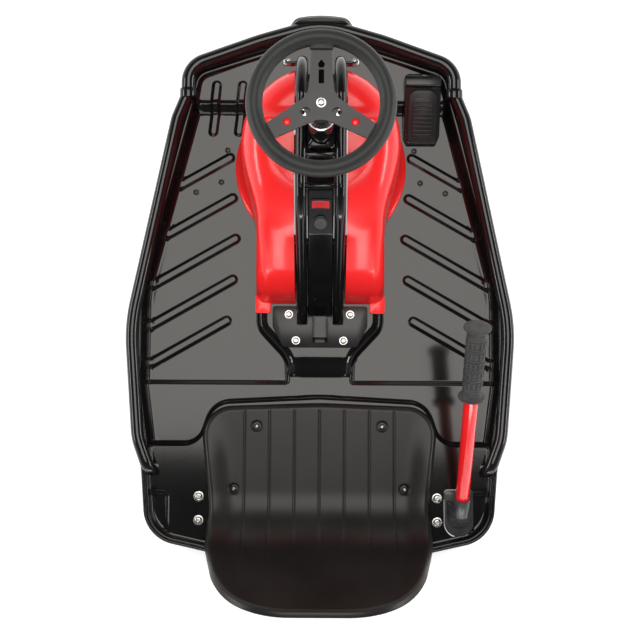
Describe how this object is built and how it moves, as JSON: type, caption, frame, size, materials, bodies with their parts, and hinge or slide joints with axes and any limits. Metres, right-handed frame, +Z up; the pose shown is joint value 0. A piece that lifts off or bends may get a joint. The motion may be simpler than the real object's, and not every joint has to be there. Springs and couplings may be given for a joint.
{
  "type": "electric drift kart",
  "caption": "Low moulded floor pan on a tube frame, with a steered drive wheel under a round shroud, a seat at the back and a lever that tips the rear casters.",
  "frame": {"origin": "on the ground at the middle of the footprint", "axes": "+X forward, +Y the driver's left, +Z up"},
  "size_m": [1.0424, 0.6822, 0.5085],
  "materials": {
    "pan_plastic": "glossy moulded black",
    "seat_plastic": "satin moulded",
    "black_tube": "gloss black powder coat",
    "guard_plastic": "satin black",
    "console_plastic": "glossy black",
    "switch_plastic": "glossy red rocker",
    "cap_plastic": "grey",
    "red_plastic": "high gloss red",
    "battery_case": "matt",
    "black_frame": "satin black",
    "pedal_plastic": "satin ribbed",
    "zinc_steel": "zinc plated",
    "caster_tread": "hard dark tread",
    "bright_steel": "bright",
    "wheel_plate": "satin dark grey",
    "foam_grip": "soft foam",
    "motor_can": "satin",
    "chain_steel": "oiled",
    "drive_tyre": "solid rubber",
    "hub_plastic": "satin",
    "boot_plastic": "satin",
    "red_paint": "gloss red",
    "grip_rubber": "textured"
  },
  "bodies": {
    "chassis": {"floor_pan": "pan_plastic", "seat_shell": "seat_plastic", "bumper_hoop": "black_tube", "nose_guard": "guard_plastic", "side_rail_left": "black_tube", "side_rail_right": "black_tube", "spine_frame": "black_tube", "head_tube": "black_tube", "spine_cover": "console_plastic", "power_switch": "switch_plastic", "charge_port_cap": "cap_plastic", "foot_plate": "black_tube", "shroud_left": "red_plastic", "shroud_right": "red_plastic", "battery_pack": "battery_case", "subframe": "black_frame", "pivot_blocks": "black_frame", "pedal_base": "pedal_plastic", "pedal_plate": "pedal_plastic", "tip_mount_left": "zinc_steel", "tip_mount_right": "zinc_steel"},
    "steering": {"steering_column": "bright_steel", "steering_spokes": "wheel_plate", "steering_rim": "foam_grip", "drive_fork": "black_frame", "front_axle": "bright_steel", "drive_motor": "motor_can", "drive_chain": "chain_steel"},
    "drive_wheel": {"drive_tyre": "drive_tyre", "drive_hub": "hub_plastic"},
    "drift_axle": {"drift_shaft": "black_frame", "lever_socket": "boot_plastic", "drift_lever": "red_paint", "lever_grip": "grip_rubber"},
    "rear_swivel_left": {"caster_fork_left": "zinc_steel"},
    "rear_wheel_left": {"caster_wheel_left": "caster_tread"},
    "rear_swivel_right": {"caster_fork_right": "zinc_steel"},
    "rear_wheel_right": {"caster_wheel_right": "caster_tread"},
    "front_swivel_left": {"tip_fork_left": "zinc_steel"},
    "front_wheel_left": {"tip_wheel_left": "caster_tread"},
    "front_swivel_right": {"tip_fork_right": "zinc_steel"},
    "front_wheel_right": {"tip_wheel_right": "caster_tread"}
  },
  "joints": [
    {"name": "steering_turn", "type": "hinge", "parent": "chassis", "child": "steering", "pos_m": [0.25, 0, 0.33], "axis": [0, 0, 1], "continuous": true},
    {"name": "drive_wheel_spin", "type": "hinge", "parent": "steering", "child": "drive_wheel", "pos_m": [0.25, 0, 0.1], "axis": [0, 1, 0], "continuous": true},
    {"name": "drift_lever_lift", "type": "hinge", "parent": "chassis", "child": "drift_axle", "pos_m": [-0.345, 0, 0.084], "axis": [0, -1, 0], "range_deg": [0, 25]},
    {"name": "rear_swivel_left_turn", "type": "hinge", "parent": "drift_axle", "child": "rear_swivel_left", "pos_m": [-0.345, 0.272, 0.084], "axis": [0.4226, 0, 0.9063], "continuous": true},
    {"name": "rear_wheel_left_spin", "type": "hinge", "parent": "rear_swivel_left", "child": "rear_wheel_left", "pos_m": [-0.38958, 0.272, 0.031], "axis": [0, 1, 0], "continuous": true},
    {"name": "rear_swivel_right_turn", "type": "hinge", "parent": "drift_axle", "child": "rear_swivel_right", "pos_m": [-0.345, -0.272, 0.084], "axis": [0.4226, 0, 0.9063], "continuous": true},
    {"name": "rear_wheel_right_spin", "type": "hinge", "parent": "rear_swivel_right", "child": "rear_wheel_right", "pos_m": [-0.38958, -0.272, 0.031], "axis": [0, 1, 0], "continuous": true},
    {"name": "front_swivel_left_turn", "type": "hinge", "parent": "chassis", "child": "front_swivel_left", "pos_m": [0.245, 0.205, 0.066], "axis": [0, 0, 1], "continuous": true},
    {"name": "front_wheel_left_spin", "type": "hinge", "parent": "front_swivel_left", "child": "front_wheel_left", "pos_m": [0.227, 0.205, 0.029], "axis": [0, 1, 0], "continuous": true},
    {"name": "front_swivel_right_turn", "type": "hinge", "parent": "chassis", "child": "front_swivel_right", "pos_m": [0.245, -0.205, 0.066], "axis": [0, 0, 1], "continuous": true},
    {"name": "front_wheel_right_spin", "type": "hinge", "parent": "front_swivel_right", "child": "front_wheel_right", "pos_m": [0.227, -0.205, 0.029], "axis": [0, 1, 0], "continuous": true}
  ]
}
